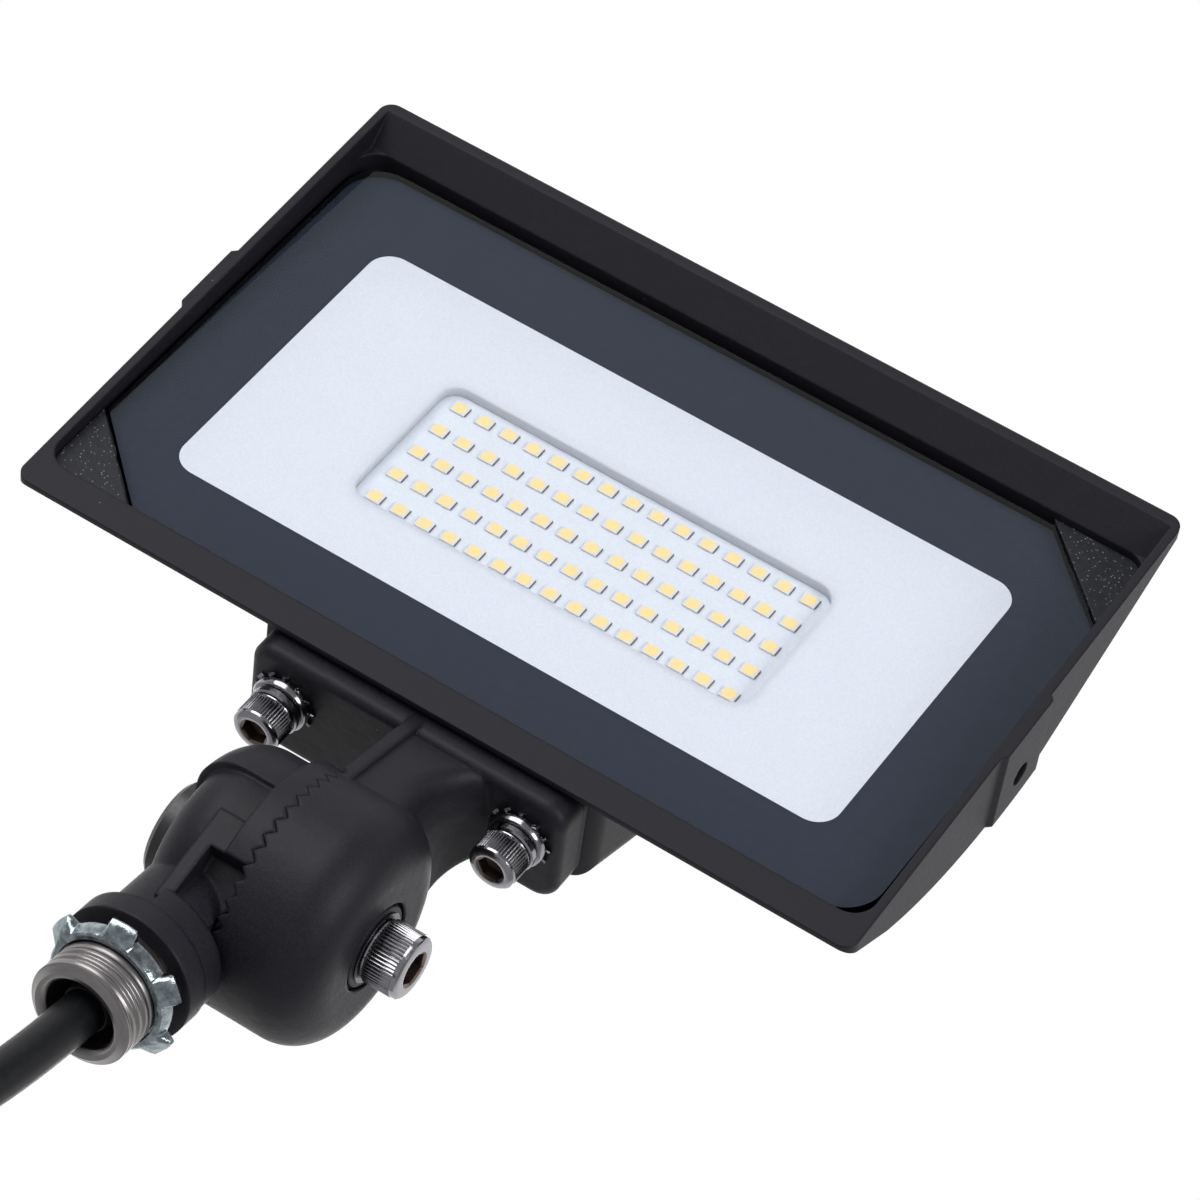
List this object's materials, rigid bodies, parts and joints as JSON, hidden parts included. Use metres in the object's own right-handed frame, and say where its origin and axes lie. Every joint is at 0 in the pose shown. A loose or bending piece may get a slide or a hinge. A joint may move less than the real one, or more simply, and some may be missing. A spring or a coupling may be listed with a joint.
{
  "type": "led floodlight",
  "caption": "Slim rectangular floodlight with a visor, a glazed light engine and a serrated tilting knuckle on a threaded hollow stub with a cable.",
  "frame": {"origin": "on the threaded stub's axis, at the outer face of the locknut, where it bears on a box or plate", "axes": "+Z along the stub's axis towards the knuckle, +X to the right seen from the lit side, +Y away from the lit side"},
  "size_m": [0.1884, 0.0732, 0.4198],
  "materials": {
    "housing_coat": "matte black powder coat over die-cast aluminium",
    "knuckle_coat": "matte black powder coat over die-cast aluminium",
    "glass": "tempered, with a dark printed border",
    "gasket": "matte silicone",
    "block_plastic": "fine sparkling grain",
    "tray_white": "white",
    "board_white": "white solder mask",
    "phosphor": "yellow phosphor in white packages",
    "stainless": "bright stainless",
    "dark_washer": "stainless",
    "potting": "potted case",
    "nut_black": "black oxide",
    "machined_aluminium": "machined",
    "bushing_black": "matte",
    "zinc": "bluish zinc plate",
    "cable_jacket": "satin black jacket",
    "tie_black": "moulded",
    "lead_black": "smooth insulation",
    "lead_white": "smooth insulation",
    "lead_green": "smooth insulation",
    "copper": "tinned copper strands"
  },
  "bodies": {
    "base": {"knuckle_base": "knuckle_coat", "pivot_nut": "nut_black", "threaded_stub": "machined_aluminium", "cable_bushing": "bushing_black", "power_cable": "cable_jacket", "cable_coil": "cable_jacket", "coil_tie": "tie_black", "lead_black": "lead_black", "lead_white": "lead_white", "lead_green": "lead_green", "lead_tips": "copper"},
    "head": {"housing": "housing_coat", "front_glass": "glass", "glass_gasket": "gasket", "corner_block_lower_left": "block_plastic", "corner_block_upper_right": "block_plastic", "reflector_tray": "tray_white", "led_board": "board_white", "led_packages": "phosphor", "board_screws": "stainless", "driver_module": "potting", "driver_screws": "stainless", "flange_gasket": "gasket", "knuckle_arm": "knuckle_coat", "tooth_washer_left": "stainless", "tooth_washer_right": "stainless", "flat_washer_left": "stainless", "flat_washer_right": "stainless", "spring_washer_left": "stainless", "spring_washer_right": "stainless", "flange_screw_left": "stainless", "flange_screw_right": "stainless", "pivot_bolt": "stainless", "pivot_washer": "dark_washer"},
    "locknut": {"locknut": "zinc"}
  },
  "joints": [
    {"name": "head_tilt", "type": "hinge", "parent": "base", "child": "head", "pos_m": [0.009, 0, 0.0428], "axis": [1, 0, 0], "range_deg": [-96, 80]},
    {"name": "locknut_travel", "type": "slide", "parent": "base", "child": "locknut", "axis": [0, 0, -1], "range_m": [0, 0.008]}
  ]
}
